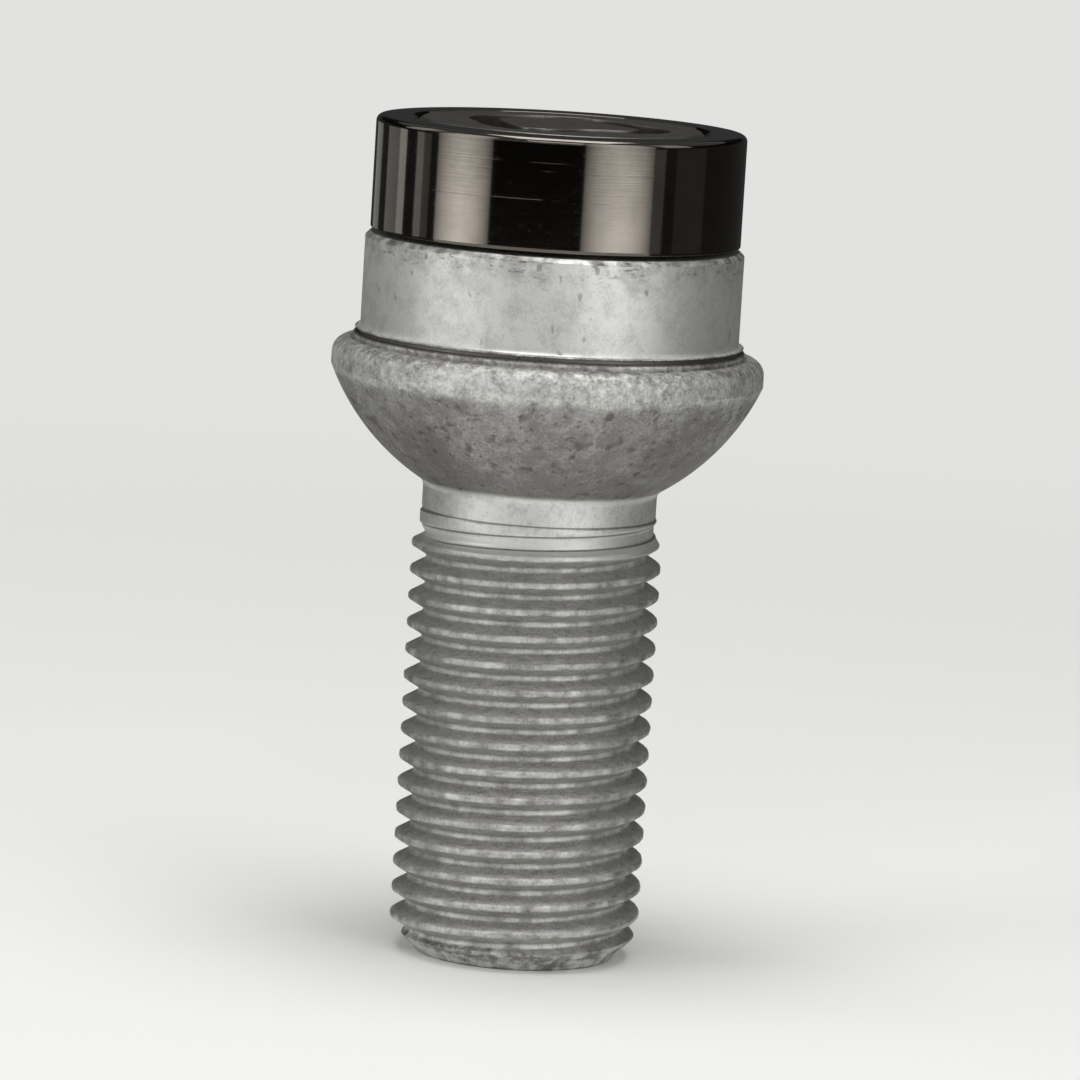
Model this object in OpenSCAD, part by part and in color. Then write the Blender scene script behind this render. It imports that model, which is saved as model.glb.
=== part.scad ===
// Locking wheel bolt: a threaded shank, a ball seat and a round head post,
// with a collar that spins freely on the post and a wire ring that retains it.
// The axis is Z, and the origin is the centre of the flat end of the shank.

/* [Thread] */
// Nominal diameter of the thread
thread_d = 14; // [12:0.1:15]
// Pitch of the thread, which also sets the neck, the run-out and the end chamfer
thread_pitch = 1.5; // [1.25, 1.5, 1.75]
// Length of the threaded stretch, with its end chamfer
thread_l = 24.9; // [16:0.1:45]

/* [Ball seat] */
// Length of the plain neck between the thread and the seat's fillet
neck_l = 1.15; // [0.8:0.05:8]
// Radius of the fillet where the neck meets the seat
neck_fillet_r = 0.6; // [0.3:0.1:0.9]
// Radius of the ball that the seat is a zone of
seat_ball_r = 13; // [12:0.5:15]
// Angle between the axis and the rim's edge, seen from the centre of the ball, in degrees
seat_rim_angle = 66.25; // [60:0.25:74]
// Radius of the rim's rounded edge
rim_edge_r = 1.2; // [0.8:0.1:1.4]
// Slope of the ledge between the rim and the shoulder, in degrees
ledge_slope = 8; // [0:1:25]

/* [Shoulder] */
// Distance that the rim stands out past the plain shoulder
ledge_w = 1.5; // [1:0.1:3]
// Length of the shoulder
shoulder_l = 5.9; // [3:0.1:9]
// Width of the small step round the foot of the shoulder
foot_step_w = 0.35; // [0.1:0.05:0.5]
// Height of that step
foot_step_h = 0.35; // [0.1:0.05:0.8]
// Width of the chamfer round the top of the shoulder
shoulder_edge = 0.25; // [0.1:0.05:0.5]

/* [Collar] */
// Distance that the side of the collar is set back from the side of the shoulder
collar_setback = 0.25; // [0.1:0.05:0.8]
// Wall of the collar
collar_wall = 2.19; // [1.8:0.05:3]
// Length of the collar, which is also the height of the head post above its gap
collar_l = 6.2; // [5.6:0.1:9]
// Gap between the shoulder and the collar
collar_gap = 0.25; // [0.15:0.05:0.5]
// Radius of the collar's rounded outer edges
collar_edge_r = 0.35; // [0.2:0.05:0.6]
// Chamfer at both mouths of the collar's bore
bore_edge = 0.25; // [0.1:0.05:0.4]

/* [Head post] */
// Radial running clearance between the post and the collar
collar_clearance = 0.06; // [0.03:0.01:0.1]
// Chamfer round the end of the post
post_edge = 0.3; // [0.15:0.05:0.5]

/* [Retaining ring] */
// Diameter of the ring's wire
wire_d = 0.9; // [0.7:0.05:1]
// Height of the wire's centre above the collar's lower face
ring_height = 1.45; // [1.3:0.05:1.8]
// Clearance between the wire and each side of its two grooves
wire_side_clearance = 0.12; // [0.08:0.01:0.15]
// Clearance past the wire at the bottom of the collar's groove
wire_end_clearance = 0.2; // [0.1:0.05:0.3]
// Angle left open between the two ends of the ring, in degrees
ring_opening = 22; // [12:1:40]

/* [Key groove] */
// Width of the wavy groove that the key's ridge enters
key_groove_w = 1.7; // [1.2:0.1:2]
// Depth of the groove below the end of the post
key_groove_depth = 5; // [3:0.1:5.4]
// Distance from the side of the post to the mean circle of the groove
key_inset = 3.5; // [3.2:0.1:4]
// Height of the three broad waves of the centre line
key_wave_three = 0.42; // [0.2:0.02:0.5]
// Height of the four narrow waves that set the irregular pattern
key_wave_four = 0.36; // [0.2:0.02:0.4]

/* [Hidden] */
$fn = 128;

// Thread: crests just under the nominal size, and a neck at the diameter the thread is rolled from
crest_allowance = 0.04;
rolling_depth = 0.325 * thread_pitch;
thread_r = thread_d / 2 - crest_allowance;
neck_r = thread_d / 2 - rolling_depth;
tip_r = thread_d / 2 - thread_pitch;
runout_l = thread_pitch / 2;

// Seat: the ball's centre lies above the neck, and the rim's edge is tangent inside the ball
fillet_x = neck_r + neck_fillet_r;
fillet_z = thread_l + neck_l;
seat_z = fillet_z + sqrt(pow(seat_ball_r + neck_fillet_r, 2) - pow(fillet_x, 2));
rim_x = (seat_ball_r - rim_edge_r) * sin(seat_rim_angle);
rim_z = seat_z - (seat_ball_r - rim_edge_r) * cos(seat_rim_angle);
rim_r = rim_x + rim_edge_r;
ball_end_x = seat_ball_r * sin(seat_rim_angle);
ball_end_z = seat_z - seat_ball_r * cos(seat_rim_angle);

// Levels of the head, from the ledge to the end of the post
shoulder_r = rim_r - ledge_w;
ledge_x = rim_x + rim_edge_r * sin(ledge_slope);
ledge_z = rim_z + rim_edge_r * cos(ledge_slope);
shoulder_z = ledge_z + (ledge_x - shoulder_r) * tan(ledge_slope);
post_z = shoulder_z + shoulder_l;
collar_z = post_z + collar_gap;
top_z = collar_z + collar_l;

// Collar and ring: the wire bridges the face of the post, half in each groove
collar_r = shoulder_r - collar_setback;
bore_r = collar_r - collar_wall;
post_r = bore_r - collar_clearance;
wire_r = wire_d / 2;
ring_r = (post_r + bore_r) / 2;
ring_z = collar_z + ring_height;
wire_groove_w = wire_d + 2 * wire_side_clearance;
wire_groove_z = ring_z - wire_groove_w / 2;
post_groove_depth = wire_d + wire_side_clearance;
collar_groove_depth = wire_r - collar_clearance / 2 + wire_end_clearance;

// Centre line of the key groove at one angle, and its slope there
key_mean_r = post_r - key_inset;
key_steps = 90;
wave_three_turn = 20;
wave_four_turn = 75;

function key_r(a) =
    key_mean_r
    + key_wave_three * cos(3 * a + wave_three_turn)
    + key_wave_four * cos(4 * a + wave_four_turn);

function key_slope(a) =
    -3 * key_wave_three * sin(3 * a + wave_three_turn)
    - 4 * key_wave_four * sin(4 * a + wave_four_turn);

// A point of the groove's wall, set off square to the centre line
function key_wall(a, off) =
    let (
        r = key_r(a),
        s = key_slope(a),
        n = sqrt(r * r + s * s),
        x = r * cos(a) + off * (r * cos(a) + s * sin(a)) / n,
        y = r * sin(a) + off * (r * sin(a) - s * cos(a)) / n
    )
    [x, y];

function key_outline(off) = [for (i = [0:key_steps - 1]) key_wall(360 * i / key_steps, off)];

// Half section of the shank and the neck, up to the foot of the seat
module shank_section() {
    polygon([
        [0, 0],
        [tip_r, 0],
        [thread_r, thread_r - tip_r],
        [thread_r, thread_l - runout_l],
        [neck_r, thread_l],
        [neck_r, seat_z],
        [0, seat_z]
    ]);
}

// Concave corner between the neck and the ball
module neck_fillet_section() {
    reach = seat_ball_r / (seat_ball_r + neck_fillet_r);
    ball_x = fillet_x * reach;
    ball_z = seat_z - (seat_z - fillet_z) * reach;
    difference() {
        polygon([[0, fillet_z], [neck_r, fillet_z], [ball_x, ball_z], [0, ball_z]]);
        translate([fillet_x, fillet_z]) circle(r = neck_fillet_r);
    }
}

// Ball seat with its rounded rim and the ledge that climbs to the shoulder
module seat_section() {
    inside_z = ball_end_z - rim_edge_r / 2;
    intersection() {
        translate([0, seat_z]) circle(r = seat_ball_r);
        translate([0, fillet_z]) square([rim_r, ball_end_z - fillet_z]);
    }
    translate([rim_x, rim_z]) circle(r = rim_edge_r);
    polygon([
        [0, inside_z],
        [rim_x, inside_z],
        [ball_end_x, ball_end_z],
        [ledge_x, ledge_z],
        [shoulder_r, shoulder_z],
        [0, shoulder_z]
    ]);
}

// Shoulder and post, with the groove that the wire springs into
module head_section() {
    difference() {
        polygon([
            [0, rim_z],
            [shoulder_r + foot_step_w, rim_z],
            [shoulder_r + foot_step_w, shoulder_z + foot_step_h],
            [shoulder_r, shoulder_z + foot_step_h],
            [shoulder_r, post_z - shoulder_edge],
            [shoulder_r - shoulder_edge, post_z],
            [post_r, post_z],
            [post_r, top_z - post_edge],
            [post_r - post_edge, top_z],
            [0, top_z]
        ]);
        translate([post_r - post_groove_depth, wire_groove_z])
            square([post_groove_depth + wire_d, wire_groove_w]);
    }
}

module key_groove() {
    translate([0, 0, top_z - key_groove_depth])
        linear_extrude(height = key_groove_depth + key_groove_w)
            difference() {
                polygon(key_outline(key_groove_w / 2));
                polygon(key_outline(-key_groove_w / 2));
            }
}

module bolt() {
    color([0.66, 0.66, 0.64])
        difference() {
            rotate_extrude() {
                shank_section();
                neck_fillet_section();
                seat_section();
                head_section();
            }
            key_groove();
        }
}

// Half section of the collar, drawn from the lower end of its bore: a plain ring with rounded
// outer edges, chamfered mouths and the inner wire groove
module collar_section() {
    flat_w = collar_wall - collar_edge_r;
    side_l = collar_l - collar_edge_r;
    difference() {
        union() {
            polygon([
                [bore_edge, 0],
                [flat_w, 0],
                [flat_w, collar_edge_r],
                [collar_wall, collar_edge_r],
                [collar_wall, side_l],
                [flat_w, side_l],
                [flat_w, collar_l],
                [bore_edge, collar_l],
                [0, collar_l - bore_edge],
                [0, bore_edge]
            ]);
            translate([flat_w, collar_edge_r]) circle(r = collar_edge_r);
            translate([flat_w, side_l]) circle(r = collar_edge_r);
        }
        translate([-wire_d, ring_height - wire_groove_w / 2])
            square([wire_d + collar_groove_depth, wire_groove_w]);
    }
}

module collar() {
    color([0.09, 0.08, 0.085])
        rotate_extrude()
            translate([bore_r, collar_z])
                collar_section();
}

// Open ring of round wire, with its opening towards +X
module retaining_ring() {
    color([0.45, 0.45, 0.47])
        translate([0, 0, ring_z])
            rotate([0, 0, ring_opening / 2])
                rotate_extrude(angle = 360 - ring_opening)
                    translate([ring_r, 0])
                        circle(r = wire_r);
}

bolt();
collar();
retaining_ring();
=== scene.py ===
# %% [markdown]
# # A locking wheel bolt with a spinning collar
# The part is a wheel bolt: a threaded shank, a ball seat that centres the wheel, a plain
# shoulder, and a head post with a wavy groove that only its own key fits. A glossy dark collar
# turns freely on the post, so that no wrench can grip the head.
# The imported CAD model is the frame: it gives the sizes, the places and the bodies that move.
# This lesson makes the finer shapes and the finishes round it.

from math import acos, atan2, cos, hypot, pi, radians, sin, sqrt, tan, tau

import bmesh
import bpy
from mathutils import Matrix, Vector, noise


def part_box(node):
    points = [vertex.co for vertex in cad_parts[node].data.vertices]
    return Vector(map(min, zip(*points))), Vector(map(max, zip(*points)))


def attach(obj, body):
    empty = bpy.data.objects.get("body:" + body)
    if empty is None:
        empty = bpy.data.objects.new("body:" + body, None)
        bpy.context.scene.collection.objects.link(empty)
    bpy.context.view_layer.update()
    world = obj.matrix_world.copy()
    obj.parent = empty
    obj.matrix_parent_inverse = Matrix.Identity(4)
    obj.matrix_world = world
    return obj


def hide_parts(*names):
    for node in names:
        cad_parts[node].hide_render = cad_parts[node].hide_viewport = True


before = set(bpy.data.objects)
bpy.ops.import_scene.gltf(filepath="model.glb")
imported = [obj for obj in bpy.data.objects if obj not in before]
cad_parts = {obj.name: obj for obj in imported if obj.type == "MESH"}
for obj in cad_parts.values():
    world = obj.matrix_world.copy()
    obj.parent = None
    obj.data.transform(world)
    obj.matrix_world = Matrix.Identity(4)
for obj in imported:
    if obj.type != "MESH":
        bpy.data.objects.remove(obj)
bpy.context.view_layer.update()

# %% [markdown]
# ## Where the camera stands
# The photograph looks slightly down at the bolt from less than forty centimetres, and the bolt
# leans a little to the right in it. A long lens from that distance gives the same flat look.
# The camera is made first, so that every later step can be judged through it.

# %% Make the camera
MM = 0.001
CAMERA_PLACE = Vector((0, -362, 74)) * MM
CAMERA_AIM = Vector((0.17, 0, 23.3)) * MM
CAMERA_LEAN = radians(3.5)
LENS_MM = 219
SENSOR_MM = 36
CLIP_NEAR = 0.01
CLIP_FAR = 10


def set_up(thing, place_at, aim_at):
    """Links a camera or a lamp to the scene, at a place and turned to an aim."""
    thing.location = place_at
    thing.rotation_euler = (aim_at - place_at).to_track_quat("-Z", "Y").to_euler()
    bpy.context.scene.collection.objects.link(thing)


camera_data = bpy.data.cameras.new("camera")
camera_data.lens = LENS_MM
camera_data.sensor_width = SENSOR_MM
camera_data.clip_start = CLIP_NEAR
camera_data.clip_end = CLIP_FAR
camera = bpy.data.objects.new("camera", camera_data)
set_up(camera, CAMERA_PLACE, CAMERA_AIM)
camera.rotation_euler.rotate_axis("Z", CAMERA_LEAN)
bpy.context.scene.camera = camera
bpy.context.scene.view_settings.view_transform = "Standard"
print("camera to bolt:", round((CAMERA_AIM - CAMERA_PLACE).length, 3), "m")

# %% [markdown]
# ## Sizes of the bolt
# Real bolts are dimensioned along their axis, from the end of the shank to the end of the head.
# All modelling here is in millimetres on that axis, and each finished mesh is scaled to metres
# at the end. The sizes are those of the CAD source. The ones that other sizes follow from are
# worked out in the same way as there, so that both models meet exactly.

# %% Sizes from the shank to the rim of the seat
THREAD_R = 7
THREAD_PITCH = 1.5
ROLLING_DEPTH = 0.325 * THREAD_PITCH
CREST_R = 6.96
ROOT_R = 6.1
NECK_R = THREAD_R - ROLLING_DEPTH
TIP_R = 5.5
THREAD_TOP = 24.9
NECK_L = 1.15
BALL_R = 13
FILLET_R = 0.6
FILLET_Z = THREAD_TOP + NECK_L
RIM_ANGLE = radians(66.25)
RIM_EDGE_R = 1.2
LEDGE_SLOPE = radians(8)

fillet_x = NECK_R + FILLET_R
ball_z = FILLET_Z + sqrt((BALL_R + FILLET_R) ** 2 - fillet_x ** 2)
rim_x = (BALL_R - RIM_EDGE_R) * sin(RIM_ANGLE)
rim_z = ball_z - (BALL_R - RIM_EDGE_R) * cos(RIM_ANGLE)
print("ball centre", round(ball_z, 3), "rim radius", round(rim_x + RIM_EDGE_R, 3))

# %% Sizes of the shoulder, the post and the collar
LEDGE_W = 1.5
STEP_W = 0.35
SHOULDER_L = 5.9
SHOULDER_EDGE = 0.25
COLLAR_GAP = 0.25
COLLAR_L = 6.2
COLLAR_SETBACK = 0.25
COLLAR_WALL = 2.19
CLEARANCE = 0.06
POST_EDGE = 0.3
WIRE_HEIGHT = 1.45
WIRE_GROOVE_W = 1.14
POST_GROOVE_DEPTH = 1.02

shoulder_r = rim_x + RIM_EDGE_R - LEDGE_W
ledge_x = rim_x + RIM_EDGE_R * sin(LEDGE_SLOPE)
ledge_z = rim_z + RIM_EDGE_R * cos(LEDGE_SLOPE)
shoulder_z = ledge_z + (ledge_x - shoulder_r) * tan(LEDGE_SLOPE)
post_z = shoulder_z + SHOULDER_L
collar_z = post_z + COLLAR_GAP
top_z = collar_z + COLLAR_L
collar_r = shoulder_r - COLLAR_SETBACK
bore_r = collar_r - COLLAR_WALL
post_r = bore_r - CLEARANCE
wire_z = collar_z + WIRE_HEIGHT
node_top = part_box("bolt")[1].z / MM
print("end of the post", round(top_z, 3), "in the CAD", round(node_top, 3))

# %% [markdown]
# ## A pen for half sections
# A lathe makes every round part from one line: half of its section, drawn from the axis
# outwards. Typing in lists of points would work, but the arcs would be tedious and hard to
# change. So a small pen draws the line: it extrudes its last vertex for a straight
# stretch and spins it about a centre for an arc. A straight stretch gets one more point close to
# each of its ends, which keeps smooth shading from spreading over it from the corners.

# %% The pen
GUARD = 0.16
QUARTER = pi / 2


class Pen:
    """Draws a line in the XZ plane of a bmesh, in millimetres."""

    def __init__(self, x, z):
        self.bm = bmesh.new()
        self.tip = self.bm.verts.new((x, 0, z))

    def point(self, x, z):
        """Extrudes the tip to one new point."""
        self.tip = bmesh.ops.extrude_vert_indiv(self.bm, verts=[self.tip])["verts"][0]
        self.tip.co = (x, 0, z)

    def line(self, x, z):
        """Draws a straight stretch, with a guard point near both ends of a long one."""
        start = self.tip.co.copy()
        end = Vector((x, 0, z))
        length = (end - start).length
        if length > 3 * GUARD:
            for share in (GUARD / length, 1 - GUARD / length):
                guard = start.lerp(end, share)
                self.point(guard.x, guard.z)
        self.point(x, z)

    def lines(self, *corners):
        """Draws a straight stretch to each corner in turn."""
        for x, z in corners:
            self.line(x, z)

    def arc(self, x, z, turn, steps):
        """Sweeps the tip about (x, z) by a turn in radians, from +X towards +Z when positive."""
        swept = bmesh.ops.spin(
            self.bm, geom=[self.tip], cent=(x, 0, z), axis=(0, -1, 0), angle=turn, steps=steps
        )
        self.tip = [v for v in swept["geom_last"] if isinstance(v, bmesh.types.BMVert)][0]


# %% The lathe
SIDES = 180
SAME_PLACE = 1e-4
NO_LENGTH = 1e-5
CORNER_ANGLE = radians(33)


def turn_on_lathe(bm, sides=SIDES):
    """Spins the drawn line once round Z and closes the seam and the poles."""
    bmesh.ops.spin(
        bm, geom=bm.verts[:] + bm.edges[:], cent=(0, 0, 0), axis=(0, 0, 1),
        angle=tau, steps=sides, use_merge=True,
    )
    bmesh.ops.remove_doubles(bm, verts=bm.verts, dist=SAME_PLACE)
    bmesh.ops.dissolve_degenerate(bm, edges=bm.edges, dist=NO_LENGTH)


def soften_corners(bm, width):
    """Rounds every sharp corner."""
    corners = [e for e in bm.edges if e.is_manifold and e.calc_face_angle() > CORNER_ANGLE]
    bmesh.ops.bevel(
        bm, geom=corners, offset=width, offset_type="OFFSET", segments=3, profile=0.5,
        affect="EDGES", material=-1, clamp_overlap=True,
    )
    return len(corners)


# %% [markdown]
# ## The head, from the neck to the key groove
# The real bolt is forged in one piece and turned, so the head is one lathe line. It climbs the
# neck, a small fillet, the ball, the rim with its short upright land, the ledge, the shoulder
# and the post with its wire groove. A fine groove runs round the foot of the shoulder, and the
# side flares out a little just above it. The key groove starts as a plain round groove here,
# because that is what a lathe can make.

# %% Sizes of the rim and of the foot of the shoulder
RIM_CORNER = 0.35
LAND_ROUND = 0.85
LAND_LIFT = 0.02
FOOT_GROOVE_LOW = 0.31
FOOT_GROOVE_HIGH = 0.54
FLARE_EDGE = 0.07
FLARE_R = 0.28

fillet_turn = -atan2(ball_z - FILLET_Z, fillet_x)
ball_start = atan2(FILLET_Z - ball_z, fillet_x)
rim_r = -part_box("bolt")[0].x / MM
corner_x = rim_r - RIM_CORNER
corner_angle = -acos(corner_x / (BALL_R - RIM_CORNER))
corner_z = ball_z + (BALL_R - RIM_CORNER) * sin(corner_angle)
land_top = ledge_z - LAND_ROUND * cos(LEDGE_SLOPE) + LAND_LIFT
flare_z = shoulder_z + FOOT_GROOVE_HIGH + FLARE_EDGE + FLARE_R
print("upright land of the rim:", round(land_top - corner_z, 2), "mm")

# %% Draw the neck, the seat and the rim
HEAD_START = THREAD_TOP + 0.5

head = Pen(NECK_R, HEAD_START)
head.line(NECK_R, FILLET_Z)
head.arc(fillet_x, FILLET_Z, fillet_turn, steps=6)
head.arc(0, ball_z, corner_angle - ball_start, steps=26)
head.arc(corner_x, corner_z, -corner_angle, steps=4)
head.line(rim_r, land_top)
head.arc(rim_r - LAND_ROUND, land_top, QUARTER - LEDGE_SLOPE, steps=10)
head.lines(
    (shoulder_r + STEP_W, shoulder_z - STEP_W * tan(LEDGE_SLOPE)),
    (shoulder_r + STEP_W, shoulder_z + FOOT_GROOVE_LOW),
    (shoulder_r, shoulder_z + FOOT_GROOVE_LOW),
    (shoulder_r, shoulder_z + FOOT_GROOVE_HIGH),
    (shoulder_r + FLARE_R, shoulder_z + FOOT_GROOVE_HIGH),
    (shoulder_r + FLARE_R, flare_z - FLARE_R),
)
head.arc(shoulder_r + FLARE_R, flare_z, -QUARTER, steps=6)
print("points from the neck to the flare:", len(head.bm.verts))

# %% Draw the shoulder and the post, and spin the head
KEY_INSET = 3.5
KEY_MEAN_R = post_r - KEY_INSET
KEY_HALF_W = 0.85
KEY_DEPTH = 5
KEY_FLOOR = top_z - KEY_DEPTH

wire_groove_low = wire_z - WIRE_GROOVE_W / 2
wire_groove_high = wire_z + WIRE_GROOVE_W / 2
head.lines(
    (shoulder_r, post_z - SHOULDER_EDGE),
    (shoulder_r - SHOULDER_EDGE, post_z),
    (post_r, post_z),
    (post_r, wire_groove_low),
    (post_r - POST_GROOVE_DEPTH, wire_groove_low),
    (post_r - POST_GROOVE_DEPTH, wire_groove_high),
    (post_r, wire_groove_high),
    (post_r, top_z - POST_EDGE),
    (post_r - POST_EDGE, top_z),
    (KEY_MEAN_R + KEY_HALF_W, top_z),
    (KEY_MEAN_R + KEY_HALF_W, KEY_FLOOR),
    (KEY_MEAN_R - KEY_HALF_W, KEY_FLOOR),
    (KEY_MEAN_R - KEY_HALF_W, top_z),
    (0, top_z),
)
turn_on_lathe(head.bm)
print("head:", len(head.bm.faces), "faces")

# %% [markdown]
# ## The wavy key groove
# The lock is this groove: a closed wave that only a key with the same wave can enter. The
# pattern is a generic one, three broad waves with four narrow ones over them. A boolean cut
# would leave a ragged rim, so the rings of the round groove are moved instead: each wall point
# goes to its place on the wave, set off square to the centre line, and the quads stay clean.

# %% Bend the round groove into the wave
WAVE_THREE = 0.42
WAVE_FOUR = 0.36
THREE_TURN = radians(20)
FOUR_TURN = radians(75)
REACH_MARGIN = 0.01
HEAD_ROUNDING = 0.07


def wave_point(angle, off):
    """A point at a distance off the groove's centre line, square to it."""
    r = KEY_MEAN_R + WAVE_THREE * cos(3 * angle + THREE_TURN)
    r += WAVE_FOUR * cos(4 * angle + FOUR_TURN)
    slope = -3 * WAVE_THREE * sin(3 * angle + THREE_TURN)
    slope -= 4 * WAVE_FOUR * sin(4 * angle + FOUR_TURN)
    length = hypot(r, slope)
    along = 1 + off / length
    across = off * slope / length
    x = r * cos(angle) * along + across * sin(angle)
    y = r * sin(angle) * along - across * cos(angle)
    return x, y


moved = 0
for vert in head.bm.verts:
    off = hypot(vert.co.x, vert.co.y) - KEY_MEAN_R
    if vert.co.z > KEY_FLOOR - REACH_MARGIN and abs(off) < KEY_HALF_W + GUARD + REACH_MARGIN:
        vert.co.x, vert.co.y = wave_point(atan2(vert.co.y, vert.co.x), off)
        moved += 1
rounded = soften_corners(head.bm, HEAD_ROUNDING)
print("key groove:", moved, "points moved;", rounded, "corner edges rounded")

# %% [markdown]
# ## The rolled thread
# A rolled thread has flanks sixty degrees apart, a narrow crest and a rounded root. One pitch of
# that line is drawn and repeated along the shank. One turn of the spin, lifted by one pitch,
# then makes a true right-hand helix, because each turn ends where the next one starts.

# %% Sizes of one pitch
ROOT_ARC_R = 0.2
CREST_ARC_R = 0.12
FLANK_SLOPE = tan(radians(30))
SIXTY = radians(60)

root_end_z = ROOT_ARC_R * sin(SIXTY)
root_end_r = ROOT_R + ROOT_ARC_R * (1 - cos(SIXTY))
crest_start_r = CREST_R - CREST_ARC_R * (1 - cos(SIXTY))
flank_r = crest_start_r - root_end_r
flank_z = flank_r * FLANK_SLOPE
crest_start_z = root_end_z + flank_z
crest_flat = THREAD_PITCH / 2 - crest_start_z - CREST_ARC_R * sin(SIXTY)
print("half width of the flat on the crest:", round(crest_flat, 3), "mm")

# %% Draw the thread and spin it
TURNS = 19
THREAD_SHIFT = 0.33
FLANK_SHARES = (0, 0.34, 0.67, 1)
HELIX_SAME_PLACE = 1e-3

thread = Pen(ROOT_R, THREAD_SHIFT - THREAD_PITCH)
for turn in range(TURNS):
    base = (turn - 1) * THREAD_PITCH + THREAD_SHIFT
    middle = base + THREAD_PITCH / 2
    top = base + THREAD_PITCH
    thread.arc(ROOT_R + ROOT_ARC_R, base, -SIXTY, steps=2)
    for share in FLANK_SHARES[1:]:
        thread.point(root_end_r + share * flank_r, base + root_end_z + share * flank_z)
    thread.arc(CREST_R - CREST_ARC_R, middle - crest_flat, SIXTY, steps=2)
    thread.line(CREST_R, middle + crest_flat)
    thread.arc(CREST_R - CREST_ARC_R, middle + crest_flat, SIXTY, steps=2)
    for share in FLANK_SHARES[2::-1]:
        thread.point(root_end_r + share * flank_r, top - root_end_z - share * flank_z)
    thread.arc(ROOT_R + ROOT_ARC_R, top, -SIXTY, steps=2)
bmesh.ops.spin(
    thread.bm, geom=thread.bm.verts[:] + thread.bm.edges[:], cent=(0, 0, 0), axis=(0, 0, 1),
    angle=tau, steps=SIDES, dvec=(0, 0, THREAD_PITCH / SIDES),
)
bmesh.ops.remove_doubles(thread.bm, verts=thread.bm.verts, dist=HELIX_SAME_PLACE)
print("thread:", len(thread.bm.faces), "faces")

# %% [markdown]
# ## The run-out, the end chamfer and the grain of rolling
# Below the neck the rolls leave the blank. The last turns are shallow there, barely in and out
# of the neck's own radius, and end in fine lines. At the end of the shank a chamfer cuts the
# crests away. Both are made by moving the points of the helix in or out. Rolled and coated
# crests aren't perfectly even, so a little noise follows.

# %% Shape the two ends of the thread
RUNOUT_START = 23.15
RUNOUT_L = 0.8
SHALLOW_DEPTH = 0.07
LAST_LINE = 0.1
LAST_LINE_L = 0.15
CHAMFER_BLEND = 0.1
UNEVEN = 0.03
BROAD_NOISE = 1.3
FINE_NOISE = 3.1
FINE_SHARE = 0.6
ROOT_KEPT = 0.5
EVEN_UP_TO = 1


def smooth(share):
    """Eases a share from 0 to 1, and holds it outside."""
    share = min(1.0, max(0.0, share))
    return share * share * (3 - 2 * share)


for vert in thread.bm.verts:
    r = hypot(vert.co.x, vert.co.y)
    z = vert.co.z
    fade = smooth((z - RUNOUT_START) / RUNOUT_L)
    climb = (r - ROOT_R) / (CREST_R - ROOT_R)
    depth = SHALLOW_DEPTH * (1 - smooth((z - THREAD_TOP + LAST_LINE) / LAST_LINE_L))
    in_or_out = 2 * smooth(3 * climb - 1) - 1
    shallow = NECK_R + depth * in_or_out
    shaped = r + (shallow - r) * fade
    ragged = noise.noise(vert.co * BROAD_NOISE) + FINE_SHARE * noise.noise(vert.co * FINE_NOISE)
    wear = UNEVEN * ragged * (1 - fade)
    shaped += wear * smooth((r - ROOT_R) / ROOT_KEPT) * smooth(z - EVEN_UP_TO)
    chamfer = TIP_R + z
    gap = max(-1.0, min(1.0, (chamfer - shaped) / CHAMFER_BLEND))
    shaped = min(shaped, chamfer) - CHAMFER_BLEND * (1 - abs(gap)) ** 2 / 4
    vert.co.x *= shaped / r
    vert.co.y *= shaped / r
print("thread radius:", round(max(hypot(v.co.x, v.co.y) for v in thread.bm.verts), 3), "mm")

# %% Cut the thread square at both ends
THREAD_LOW = 0.3
THREAD_HIGH = THREAD_TOP + 0.1

for level, keep_above in ((THREAD_LOW, True), (THREAD_HIGH, False)):
    bmesh.ops.bisect_plane(
        thread.bm, geom=thread.bm.verts[:] + thread.bm.edges[:] + thread.bm.faces[:],
        plane_co=(0, 0, level), plane_no=(0, 0, 1), dist=SAME_PLACE,
        clear_inner=keep_above, clear_outer=not keep_above,
    )
print("thread after cutting:", len(thread.bm.faces), "faces")

# %% [markdown]
# ## The end of the shank
# The end that enters the hub first is flat, with a small rounding to its chamfer. It is one
# more lathe line, and the bolt stands on it.

# %% Draw the end of the shank
CHAMFER_ANGLE = radians(45)
END_ROUND = 0.2
END_GAP = 0.02
round_reach = END_ROUND * tan(CHAMFER_ANGLE / 2)

tip = Pen(0, 0)
tip.line(TIP_R - round_reach, 0)
tip.arc(TIP_R - round_reach, END_ROUND, CHAMFER_ANGLE, steps=4)
tip.line(TIP_R + THREAD_LOW - END_GAP, THREAD_LOW - END_GAP)
turn_on_lathe(tip.bm)
print("shank end:", len(tip.bm.faces), "faces")

# %% [markdown]
# ## One closed bolt
# The real bolt is one piece of steel, so the three shapes are brought into one mesh. Their open
# ends lie a little apart, and bridging each pair of loops closes the skin.

# %% Join the three shapes
LOOP_MARGIN = 0.1


def add_shape(target, source):
    """Copies one bmesh into another."""
    carrier = bpy.data.meshes.new("carrier")
    source.to_mesh(carrier)
    source.free()
    target.from_mesh(carrier)
    bpy.data.meshes.remove(carrier)


def bridge_between(bm, low, high):
    """Bridges the two open loops that lie near two levels."""
    low -= LOOP_MARGIN
    high += LOOP_MARGIN
    loops = [
        e for e in bm.edges
        if e.is_boundary and all(low < v.co.z < high for v in e.verts)
    ]
    made = bmesh.ops.bridge_loops(bm, edges=loops)
    return len(made["faces"])


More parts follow.
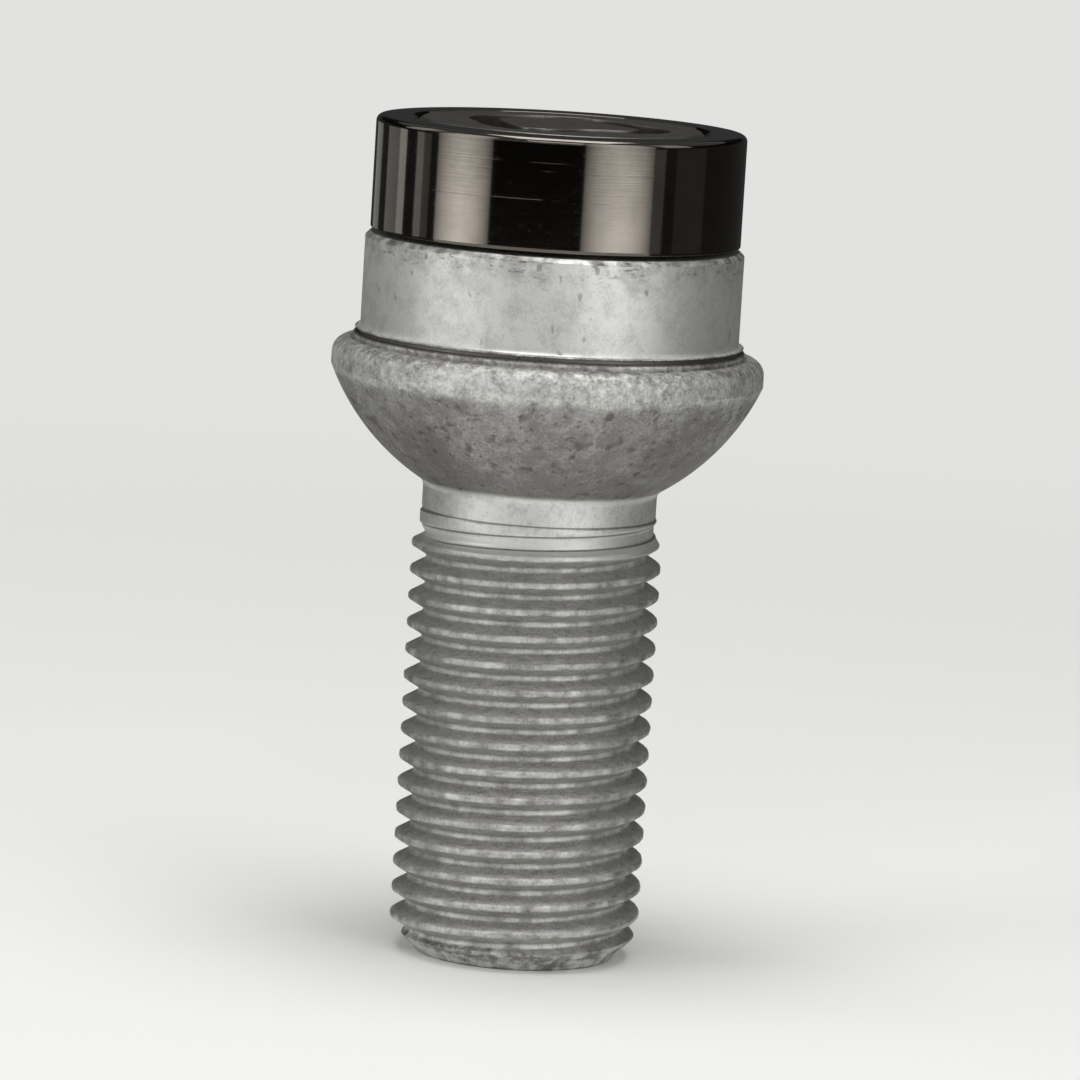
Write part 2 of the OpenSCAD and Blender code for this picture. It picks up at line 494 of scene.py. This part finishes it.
bolt_bm = bmesh.new()
for shape in (head.bm, thread.bm, tip.bm):
    add_shape(bolt_bm, shape)
low_faces = bridge_between(bolt_bm, THREAD_LOW, THREAD_LOW)
high_faces = bridge_between(bolt_bm, THREAD_HIGH, HEAD_START)
open_edges = sum(1 for e in bolt_bm.edges if not e.is_manifold)
print("bridged:", low_faces, "and", high_faces, "faces; open edges left:", open_edges)

# %% [markdown]
# ## From millimetres to a finished piece
# Every piece ends in the same way: faces turned outwards, scaled to metres, shaded smooth
# except across real corners, and tied to its CAD body.

# %% Finish a piece
SHARP_ANGLE = radians(48)


def to_object(bm, name):
    """Makes a linked object of a bmesh that is in metres."""
    mesh = bpy.data.meshes.new(name)
    bm.to_mesh(mesh)
    bm.free()
    made = bpy.data.objects.new(name, mesh)
    bpy.context.scene.collection.objects.link(made)
    return made


def to_smooth_object(bm, name):
    """Makes a smooth object of a bmesh that is in millimetres."""
    bmesh.ops.recalc_face_normals(bm, faces=bm.faces)
    bmesh.ops.scale(bm, vec=(MM, MM, MM), verts=bm.verts)
    made = to_object(bm, name)
    made.data.shade_smooth()
    return made


def finish_piece(bm, name, body, node):
    """Makes a piece that rides on a body and stands for a CAD node."""
    piece = to_smooth_object(bm, name)
    piece.data.set_sharp_from_angle(angle=SHARP_ANGLE)
    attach(piece, body)
    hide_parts(node)
    triangles = sum(len(p.vertices) - 2 for p in piece.data.polygons)
    print(name, "has", triangles, "triangles")
    return piece


bolt = finish_piece(bolt_bm, "bolt_body", "bolt", "bolt")

# %% [markdown]
# ## The spinning collar
# The collar is a ring with a rounded upper edge, a nearly sharp lower one, chamfered mouths and
# a groove inside for the wire. It is a closed lathe line. Its side is a mirror, so it gets more
# sides than the bolt, and its reflections stay straight.

# %% Draw the collar
COLLAR_SIDES = 288
COLLAR_FOOT_R = 0.06
COLLAR_EDGE_R = 0.35
BORE_EDGE = 0.25
COLLAR_GROOVE_DEPTH = 0.62
COLLAR_ROUNDING = 0.05

collar_top = collar_z + COLLAR_L
ring = Pen(bore_r, collar_z + BORE_EDGE)
ring.lines((bore_r + BORE_EDGE, collar_z), (collar_r - COLLAR_FOOT_R, collar_z))
ring.arc(collar_r - COLLAR_FOOT_R, collar_z + COLLAR_FOOT_R, QUARTER, steps=5)
ring.line(collar_r, collar_top - COLLAR_EDGE_R)
ring.arc(collar_r - COLLAR_EDGE_R, collar_top - COLLAR_EDGE_R, QUARTER, steps=8)
ring.lines(
    (bore_r + BORE_EDGE, collar_top),
    (bore_r, collar_top - BORE_EDGE),
    (bore_r, wire_groove_high),
    (bore_r + COLLAR_GROOVE_DEPTH, wire_groove_high),
    (bore_r + COLLAR_GROOVE_DEPTH, wire_groove_low),
    (bore_r, wire_groove_low),
    (bore_r, collar_z + BORE_EDGE),
)
bmesh.ops.remove_doubles(ring.bm, verts=ring.bm.verts, dist=SAME_PLACE)
turn_on_lathe(ring.bm, COLLAR_SIDES)
soften_corners(ring.bm, COLLAR_ROUNDING)
collar = finish_piece(ring.bm, "collar_ring", "collar", "collar")

# %% [markdown]
# ## Shader maths as Python
# A finish is built from patterns: noise for grain, steps for edges, and sums of them. Each of
# those is a node. One small class wraps a socket, so that the patterns read as plain
# arithmetic, and one method makes any other node from its type, settings and inputs.

# %% The socket class
COLOUR_A = 6
COLOUR_B = 7
COLOUR_RESULT = 2


class Field:
    """A value, vector, colour or shader in a node tree."""

    def __init__(self, tree, socket=None):
        self.tree = tree
        self.socket = socket

    def node(self, kind, settings=None, inputs=None, output=0):
        """Adds a node: its settings first, then the values or links of its sockets."""
        made = self.tree.nodes.new(kind)
        for name, setting in (settings or {}).items():
            setattr(made, name, setting)
        for key, value in (inputs or {}).items():
            if isinstance(value, Field):
                self.tree.links.new(value.socket, made.inputs[key])
            else:
                made.inputs[key].default_value = value
        return Field(self.tree, made.outputs[output] if made.outputs else None)

    def math(self, operation, first, second=0.0):
        return self.node("ShaderNodeMath", {"operation": operation}, {0: first, 1: second})

    def __add__(self, other):
        return self.math("ADD", self, other)

    def __sub__(self, other):
        return self.math("SUBTRACT", self, other)

    def __rsub__(self, other):
        return self.math("SUBTRACT", other, self)

    def __mul__(self, other):
        return self.math("MULTIPLY", self, other)

    def __pow__(self, other):
        return self.math("POWER", self, other)

    __radd__ = __add__
    __rmul__ = __mul__

    def sine(self):
        """The sine of this value in radians."""
        return self.math("SINE", self)

    def clamp(self):
        """This value, kept between 0 and 1."""
        return self.node("ShaderNodeClamp", None, {0: self})

    def step(self, low, high):
        """0 below low and 1 above high, with a smooth rise between."""
        settings = {"interpolation_type": "SMOOTHSTEP"}
        return self.node(
            "ShaderNodeMapRange", settings, {0: self, 1: low, 2: high, 3: 0.0, 4: 1.0}
        )

    def between(self, low, high, soft):
        """1 between two levels and 0 outside them."""
        return self.step(low - soft, low + soft) * (1 - self.step(high - soft, high + soft))

    def swing(self, amount):
        """This noise, made to swing evenly about zero and given an amount."""
        return amount * (self - 0.5)

    def noise(self, scale, detail=3.0, rough=0.5):
        """Cloudy noise from 0 to 1 on this vector, with scale in features per unit."""
        inputs = {"Vector": self, "Scale": scale, "Detail": detail, "Roughness": rough}
        return self.node("ShaderNodeTexNoise", None, inputs)

    def spots(self, scale, low, high, detail=1.0, rough=0.5):
        """Separate spots on this vector: what rises above a level in a noise."""
        return self.noise(scale, detail, rough).step(low, high)

    def vector_math(self, operation, vector):
        return self.node("ShaderNodeVectorMath", {"operation": operation}, {0: self, 1: vector})

    def scaled(self, vector):
        """This vector, multiplied part by part."""
        return self.vector_math("MULTIPLY", vector)

    def moved(self, vector):
        """This vector, moved by another."""
        return self.vector_math("ADD", vector)

    def blend(self, first, second):
        """Mixes two colours by this value."""
        inputs = {0: self, COLOUR_A: first, COLOUR_B: second}
        return self.node("ShaderNodeMix", {"data_type": "RGBA"}, inputs, COLOUR_RESULT)

    def bump(self):
        """A normal from this height in millimetres."""
        inputs = {"Strength": 1.0, "Distance": MM, "Height": self}
        return self.node("ShaderNodeBump", None, inputs, "Normal")

    def show_as(self, kind):
        """Ends the tree with this shader in an output node."""
        self.node(kind, None, {"Surface": self})


# %% Start and finish a material


def new_material(name):
    """A material with an empty tree, and its Object coordinates in millimetres."""
    material = bpy.data.materials.new(name)
    material.use_nodes = True
    material.node_tree.nodes.clear()
    start = Field(material.node_tree)
    place = start.node("ShaderNodeTexCoord", output="Object").scaled((1 / MM,) * 3)
    return material, place


def close_material(place, **inputs):
    """Ends the tree in one Principled shader, with spaces in its names as underscores."""
    sockets = {name.replace("_", " "): value for name, value in inputs.items()}
    place.node("ShaderNodeBsdfPrincipled", None, sockets).show_as("ShaderNodeOutputMaterial")
    print("finish in", len(place.tree.nodes), "nodes")


def axis_parts(place):
    """Height along the axis and distance from it."""
    x, y, z = (place.node("ShaderNodeSeparateXYZ", None, {0: place}, part) for part in "XYZ")
    return z, (x * x + y * y) ** 0.5


# %% [markdown]
# ## The zinc-flake coat
# The bolt is dipped in a coat of tiny zinc flakes and baked. It is a soft silver grey, satin
# and a little grainy. The shoulder and the neck are nearly smooth, a little cloudy, with small
# dark specks and rubs near the top edge. The seat was rolled rough, so it is mottled and
# pitted, and painted shade makes it duller towards its lower edge. The thread has duller
# flanks. Painted shade darkens the fine lines of its run-out, the groove at the foot of the
# shoulder and the corner of the ledge. One material covers the whole bolt, because it is one
# dip: masks by height and radius choose how the coat looks on each stretch. In the sums of
# masks below, a row's first number is how dull its stretch is, and the swings are how much each
# pattern changes it.

# %% Heights and radii at which the coat changes, each with a soft border
SHANK_END_TO = (0.02, 0.1)
CHAMFER_TO = (1.0, 1.5)
THREAD_TO = (22.8, 23.6)
NECK_FROM = (23.6, 24.4)
NECK_TO = (26.2, 26.5)
SEAT_FROM = (26.35, 26.65)
RIM_FROM = (31.95, 32.5)
SHOULDER_FROM = (34.6, 34.7)
POST_FROM = (40.0, 40.1)
CREST_OUTSIDE = (6.82, 6.93)
ROOT_INSIDE = (6.12, 6.22)
POST_INSIDE = (8.1, 8.3)
SHOULDER_OUTSIDE = (9.9, 10.1)
RIM_OUTSIDE = (10.6, 10.75)
BORDER_WAVE = 0.7

coat, place = new_material("zinc_flake_coat")
z, radius = axis_parts(place)
border = z + place.noise(2.0).swing(BORDER_WAVE)

shank_end = 1 - z.step(*SHANK_END_TO)
threaded = 1 - z.step(*THREAD_TO)
end_chamfer = 1 - z.step(*CHAMFER_TO)
crest = radius.step(*CREST_OUTSIDE)
root = 1 - radius.step(*ROOT_INSIDE)
flank = threaded * (1 - crest) * (1 - root)
seat = z.step(*SEAT_FROM) * (1 - border.step(*RIM_FROM))
rim = border.step(*RIM_FROM) * radius.step(*RIM_OUTSIDE)
shoulder = z.step(*SHOULDER_FROM) * radius.step(*SHOULDER_OUTSIDE)
neck = z.step(*NECK_FROM) * (1 - z.step(*NECK_TO))
post = z.step(*POST_FROM) * (1 - radius.step(*POST_INSIDE))
print("masks of the coat:", len(coat.node_tree.nodes), "nodes")

# %% Patterns in the coat, from fine to broad
LYING = (1, 1, 3)

fine = place.noise(15.0, detail=2.0)
grain = place.noise(7.0, rough=0.6)
lumps = place.noise(2.4, detail=4.0, rough=0.62)
blotch = place.noise(1.0, rough=0.55)
mottle = place.noise(0.8, detail=4.0, rough=0.6)
patch = place.noise(0.28, detail=2.0)
streaks = place.scaled(LYING).noise(1.6, rough=0.6)
dashes = place.noise(1.1, detail=2.0, rough=0.55)
uneven = blotch.swing(0.6) + lumps.swing(0.4) + patch.swing(0.5)
print("with its patterns:", len(coat.node_tree.nodes), "nodes")

# %% Marks of handling and rolling, and painted shade in grooves and corners
TOP_EDGE_FROM = (38.2, 39.8)
WORN_FROM = (39.72, 39.8)
LEDGE_FROM = (33.3, 34.0)
# The next heights and radii, up to LEDGE_SOFT, place painted shade in the foot groove, the
# run-out lines and the ledge corner.
GROOVE_OUTSIDE = (10.3, 10.4)
GROOVE_LINE = (34.38, 34.68)
RUNOUT_LINE = (23.35, 24.94)
NECK_SKIN = (NECK_R - 0.05, NECK_R + 0.05)
LEDGE_LINE = (33.9, 34.24)
LEDGE_LINE_R = (10.84, 11.02)
LINE_SOFT = 0.03
NECK_SOFT = 0.02
LEDGE_SOFT = 0.04
STROKE_SHAPE = (0.6, 0.6, 2.2)
STAIN_SHAPE = (1, 1, 0.6)

top_edge = shoulder * z.step(*TOP_EDGE_FROM)
strokes = place.scaled(STROKE_SHAPE).spots(2.2, 0.56, 0.66, detail=2.0, rough=0.6)
scuffs = strokes * top_edge * place.spots(0.5, 0.44, 0.56)
specks = place.spots(3.4, 0.68, 0.78) * (0.35 + 0.65 * top_edge)
stains = place.scaled(STAIN_SHAPE).spots(1.5, 0.715, 0.76, rough=0.4)
pits = 0.6 * place.spots(1.25, 0.60, 0.76) + 0.5 * place.spots(2.3, 0.62, 0.74)
edge_wear = z.step(*WORN_FROM) * radius.step(*SHOULDER_OUTSIDE)
ledge = z.step(*LEDGE_FROM) * radius.step(*RIM_OUTSIDE)
# Painted shade: a dark line in the groove at the foot of the shoulder, on top of the real groove.
foot_groove_painted_shade = z.between(*GROOVE_LINE, LINE_SOFT) * radius.step(*GROOVE_OUTSIDE)
# Painted shade: dark lines on the flanks of the shallow run-out grooves.
runout_painted_shade = z.between(*RUNOUT_LINE, LINE_SOFT) * radius.between(*NECK_SKIN, NECK_SOFT)
# Painted shade: a dark line in the corner where the step meets the ledge.
ledge_corner_painted_shade = radius.between(*LEDGE_LINE_R, LEDGE_SOFT) * z.between(*LEDGE_LINE, LINE_SOFT)
print("with its marks:", len(coat.node_tree.nodes), "nodes")

# %% How dull and how dark each stretch is
SILVER = (0.72, 0.72, 0.695, 1)
DULL = (0.25, 0.242, 0.226, 1)
DARK = (0.075, 0.066, 0.058, 1)
# Painted shade: the seat is made duller towards its lower edge, which faces down.
LOW_SEAT_SHADE_TO = (26.5, 32.5)

low_seat_painted_shade = 1 - z.step(*LOW_SEAT_SHADE_TO)
dull_share = (
    seat * (0.80 + 1.3 * uneven + grain.swing(0.9) + 0.22 * low_seat_painted_shade)
    + rim * (0.33 + 1.9 * uneven + grain.swing(1.3) + lumps.swing(1.0))
    + ledge * (0.35 + lumps.swing(0.8))
    + edge_wear * (0.35 + dashes.swing(2.5))
    + flank * (0.60 + streaks.swing(0.9) + grain.swing(0.9))
    + threaded * (1 - flank) * (0.28 + dashes.swing(2.0) + grain.swing(0.9))
    + threaded * crest * 0.22
    + shoulder * (0.12 + mottle.swing(1.15) + grain.swing(0.75) + patch.swing(0.3))
    + neck * (0.05 + lumps.swing(1.3) + grain.swing(0.8))
    + top_edge * (0.16 + lumps.swing(1.2) + blotch.swing(1.4))
    + end_chamfer * (lumps.swing(2.4) + blotch.swing(3.8))
    + shank_end * 0.9
)
dark_share = (
    seat * pits * 0.9
    + rim * pits * 0.35
    + specks * 0.5 * (1 - seat)
    + stains * 0.4 * shoulder
    + scuffs * 0.65
    + post * 0.86
    # The next three rows are painted shade in the foot groove, the ledge corner and the run-out
    # lines.
    + foot_groove_painted_shade * 0.8
    + ledge_corner_painted_shade * 0.5
    + runout_painted_shade * 0.72
)
colour = dull_share.clamp().blend(SILVER, DULL)
colour = dark_share.clamp().blend(colour, DARK)
print("with its colours:", len(coat.node_tree.nodes), "nodes")

# %% How rough the coat is, and its relief in millimetres
COAT_METALLIC = 0.88
COAT_ROUGHNESS = 0.50

roughness = (
    COAT_ROUGHNESS + mottle.swing(0.2) + 0.08 * seat + 0.06 * rim + 0.04 * threaded - 0.16 * post
)
height = (
    grain * 0.010
    + fine * 0.004
    + (seat + rim) * (lumps * 0.05 + blotch * 0.06)
    - seat * pits * 0.05
    + threaded * (streaks * 0.05 + lumps * 0.03)
)
close_material(
    place, Base_Color=colour, Metallic=COAT_METALLIC, Roughness=roughness, Normal=height.bump(),
)
bolt.data.materials.append(coat)

# %% [markdown]
# ## Black chrome
# The collar is polished and plated in dark chrome, which reflects about a seventh of the
# light, a little warm. It is a metal with a dark colour. Handling leaves a few fine scratches
# along the turn and a little dust, so roughness varies slightly.

# %% The collar's finish
CHROME_DEEP = (0.135, 0.122, 0.105, 1)
CHROME_LIGHT = (0.160, 0.145, 0.126, 1)
CHROME_ROUGHNESS = 0.07
TURNING_SHAPE = (0.25, 0.25, 5.0)
RING_MARKS = (45.1, 44.65, 43.1)
MARK_HALF_W = 0.03
SCRATCH_DEPTH = 0.0012

chrome, place = new_material("black_chrome")
z = axis_parts(place)[0]
turning = place.scaled(TURNING_SHAPE).noise(1.6, rough=0.6)
dust = place.spots(4.0, 0.62, 0.78, detail=2.0, rough=0.6)
cloud = place.noise(0.5, rough=0.6)
marks = 0
for level in RING_MARKS:
    broken = place.moved((0, 0, 7 * level)).spots(0.35, 0.45, 0.6, detail=2.0)
    marks = marks + broken * z.between(level - MARK_HALF_W, level + MARK_HALF_W, LINE_SOFT)
tint = cloud.step(0.3, 0.7).blend(CHROME_DEEP, CHROME_LIGHT)
chrome_rough = CHROME_ROUGHNESS + turning.swing(0.06) + 0.08 * dust + 0.06 * marks
chrome_height = turning * SCRATCH_DEPTH - marks * SCRATCH_DEPTH
close_material(
    place, Base_Color=tint, Metallic=1.0, Roughness=chrome_rough, Normal=chrome_height.bump(),
)
collar.data.materials.append(chrome)

# %% [markdown]
# ## Spring wire
# The ring that keeps the collar on is drawn spring wire. The CAD solid already has its shape,
# so it only gets a finish: fine lines along the wire from the drawing die.

# %% The wire's finish
WIRE_GREY = (0.42, 0.42, 0.44, 1)
WIRE_ROUGHNESS = 0.35
LINE_DEPTH = 0.002
LINES_OUTWARD = 14
LINES_UPWARD = 17

wire, place = new_material("drawn_wire")
z, radius = axis_parts(place)
across = (radius * LINES_OUTWARD).sine() * 0.5 + (z * LINES_UPWARD).sine() * 0.5
close_material(
    place, Base_Color=WIRE_GREY, Metallic=1.0,
    Roughness=WIRE_ROUGHNESS + 0.1 * place.noise(2.0), Normal=(across * LINE_DEPTH).bump(),
)
retaining_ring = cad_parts["retaining_ring"]
retaining_ring.data.materials.clear()
retaining_ring.data.materials.append(wire)

# %% [markdown]
# ## The paper that the bolt stands on
# A product photographer lays a wide sheet of paper on the table and lets it curve up behind, so
# that no edge shows. Here it is a shallow bowl made on the lathe, so it also works from every
# other side. Close to the bolt it is lit as real paper is, and holds the shadow. Further out it
# shows one even tone to the camera and in reflections, without throwing more light on the bolt.

# %% The floor and its wall
FLOOR_R = 2000
WALL_CURVE_R = 300
WALL_TOP = 400
FLOOR_SIDES = 96

paper_line = Pen(0, 0)
paper_line.line(FLOOR_R - WALL_CURVE_R, 0)
paper_line.arc(FLOOR_R - WALL_CURVE_R, WALL_CURVE_R, QUARTER, steps=8)
paper_line.line(FLOOR_R, WALL_TOP)
turn_on_lathe(paper_line.bm, FLOOR_SIDES)
floor = to_smooth_object(paper_line.bm, "floor")
print("floor:", len(floor.data.polygons), "faces")

# %% The paper's tones
PAPER = (0.87, 0.87, 0.86, 1)
PAPER_FAR = (0.76, 0.76, 0.75, 1)
SHADOW_REACH = 40
EVEN_FROM = 260

paper, place = new_material("pale_floor")
radius = axis_parts(place)[1]
rays = place.node("ShaderNodeLightPath", output="Is Camera Ray")
rays = rays + place.node("ShaderNodeLightPath", output="Is Glossy Ray")
rays = rays + place.node("ShaderNodeLightPath", output="Is Transmission Ray")
even = radius.step(SHADOW_REACH, EVEN_FROM) * rays
lit = place.node(
    "ShaderNodeBsdfPrincipled", None,
    {"Base Color": PAPER, "Roughness": 0.9, "Specular IOR Level": 0.1},
)
plain = place.node("ShaderNodeEmission", None, {"Color": PAPER_FAR})
mixed = place.node("ShaderNodeMixShader", None, {0: even, 1: lit, 2: plain})
mixed.show_as("ShaderNodeOutputMaterial")
floor.data.materials.append(paper)
print("paper is lit up to", SHADOW_REACH, "mm and even from", EVEN_FROM, "mm")

# %% [markdown]
# ## Light
# Two upright softboxes stand left and right of the camera: they make the two bright bands on
# the collar. Real ones are brightest in their middle, and so are these. The collar is seen a
# little from above, so it mirrors the foot of each box, and a low strip there keeps the bands
# bright down to its lower edge. A wide soft light hangs above, one lights each side, and a
# small one fills in from the front.

# %% Lamps
LAMP_WIDTH_AXIS = "X"
EDGE_LIGHT = 0.2
MIDDLE_LIGHT = 1.3
LIGHT_FALL = 0.8
FLOOR_GAP = 0.002


def from_bolt(bearing, distance, height):
    """A place at a bearing in degrees from the camera's side, positive to the right."""
    angle = radians(bearing)
    return Vector((sin(angle) * distance, -cos(angle) * distance, height))


def softbox(name, place_at, aim_height, width, height, radiance):
    """An area lamp whose surface has a radiance, where 1 is as bright as white paper."""
    lamp = bpy.data.lights.new(name, "AREA")
    lamp.shape = "RECTANGLE"
    lamp.size = width
    lamp.size_y = height
    lamp.energy = pi * radiance * width * height
    made = bpy.data.objects.new(name, lamp)
    set_up(made, place_at, Vector((0, 0, aim_height)))
    made.visible_camera = False
    return lamp


def upright_box(name, bearing, half_angle, distance, height, radiance):
    """A softbox that stands on the floor, brighter in the middle than along its two sides."""
    middle = height / 2 + FLOOR_GAP
    width = 2 * distance * tan(radians(half_angle))
    place_at = from_bolt(bearing, distance, middle)
    lamp = softbox(name, place_at, middle, width, height, radiance)
    lamp.use_nodes = True
    lamp.node_tree.nodes.clear()
    start = Field(lamp.node_tree)
    spot = start.node("ShaderNodeNewGeometry", output="Parametric")
    side = start.node("ShaderNodeSeparateXYZ", None, {0: spot}, LAMP_WIDTH_AXIS) * 2 - 1
    falloff = EDGE_LIGHT + (MIDDLE_LIGHT - EDGE_LIGHT) * (1 - (side * side) ** LIGHT_FALL)
    start.node("ShaderNodeEmission", None, {"Strength": falloff}).show_as("ShaderNodeOutputLight")


# %% Place the lamps, with bearings and half angles in degrees and all else in metres
LEFT = (-61.3, 19.8)
RIGHT = (37.5, 22.2)
BOX_SIZES = (0.30, 0.32)
STRIP_SIZES = (0.295, 0.018)

for name, aim, sizes, radiance in (
    ("softbox_left", LEFT, BOX_SIZES, 1.47),
    ("softbox_right", RIGHT, BOX_SIZES, 1.46),
    ("kicker_left", LEFT, STRIP_SIZES, 0.87),
    ("kicker_right", RIGHT, STRIP_SIZES, 0.85),
):
    upright_box(name, *aim, *sizes, radiance)
# Each row: name, place, height that it is aimed at, width, height, radiance
for row in (
    ("softbox_side_left", from_bolt(-105, 0.3, 0.2), 0.035, 0.12, 0.2, 1.0),
    ("softbox_side_right", from_bolt(78, 0.3, 0.2), 0.035, 0.12, 0.2, 0.8),
    ("softbox_front", Vector((-0.02, -0.30, 0.24)), 0.03, 0.2, 0.12, 1.5),
    ("softbox_top", Vector((0.0, -0.05, 0.7)), 0.02, 0.5, 0.5, 4.0),
):
    softbox(*row)
print("lamps:", len(bpy.data.lights))

# %% [markdown]
# ## Cards round the bolt
# A photographer shapes the reflections in polished metal with black and grey cards. The black
# ones keep the collar dark between its bright bands. The small grey and white ones behind it
# and on the floor give it its weaker streaks. They are seen only in reflections, and neither
# shade the bolt nor light it.

# %% Make a card
CARD_STEPS = 32


def card(name, bearings, distances, heights, radiance):
    """A card swept between two bearings, from its lower edge to its upper one."""
    start, end = bearings
    bm = bmesh.new()
    low, high = (bm.verts.new(from_bolt(start, d, h)) for d, h in zip(distances, heights))
    edge = bm.edges.new((low, high))
    bmesh.ops.spin(
        bm, geom=[low, high, edge], cent=(0, 0, 0), axis=(0, 0, 1),
        angle=radians(end - start), steps=CARD_STEPS,
    )
    made = to_object(bm, name)
    grey, place = new_material(name)
    close_material(
        place, Base_Color=(0, 0, 0, 1), Roughness=1.0, Specular_IOR_Level=0.0,
        Emission_Color=(radiance, radiance, radiance, 1), Emission_Strength=1.0,
    )
    made.data.materials.append(grey)
    made.visible_camera = False
    made.visible_diffuse = False
    made.visible_shadow = False


# %% Set up the cards, with bearings in degrees and all else in metres
FAR_R = (0.34, 0.34)
NEAR_R = (0.075, 0.075)
STRIP_R = (0.074, 0.074)
STRIP_HEIGHTS = (0.031, 0.045)
ON_FLOOR = (0.0006, 0.0006)

# Each row: name, bearings, distances and heights of the lower and the upper edge, radiance
for row in (
    ("card_front", (-90, 90), FAR_R, (0.0005, 0.09), 0.01),
    ("card_back", (90, 270), FAR_R, (0.0005, 0.22), 0.01),
    ("card_near", (57, 284), NEAR_R, (0.0005, 0.06), 0.04),
    ("card_floor_left", (-165, -70), (0.040, 0.074), ON_FLOOR, 0.64),
    ("card_floor_left_near", (-165, -70), (0.016, 0.040), ON_FLOOR, 0.04),
    ("card_floor_right", (70, 150), (0.040, 0.074), ON_FLOOR, 0.58),
    ("card_floor_right_near", (70, 150), (0.016, 0.040), ON_FLOOR, 0.16),
):
    card(*row)
for name, bearings, radiance in (
    ("card_grey_right", (57, 64), 0.20),
    ("card_dim_right", (72, 96), 0.09),
    ("card_grey_left", (-93.7, -87.5), 0.56),
    ("card_dim_left", (-87.5, -81.6), 0.20),
    ("card_bright_back", (-111.5, -103.9), 0.95),
    ("card_grey_back", (-127, -111.5), 0.40),
    ("card_grey_edge", (-152, -138), 0.35),
):
    card(name, bearings, STRIP_R, STRIP_HEIGHTS, radiance)

# %% [markdown]
# ## The world
# A faint even light from everywhere stands for the walls of the room, which keep the shadows
# from turning black.

# %% The world
WORLD_LIGHT = 0.2

world = bpy.data.worlds.new("world")
world.use_nodes = True
bpy.context.scene.world = world
world.node_tree.nodes.clear()
sky = Field(world.node_tree)
background = sky.node(
    "ShaderNodeBackground", None, {"Color": (1, 1, 1, 1), "Strength": WORLD_LIGHT}
)
background.show_as("ShaderNodeOutputWorld")
print("light of the world:", WORLD_LIGHT)
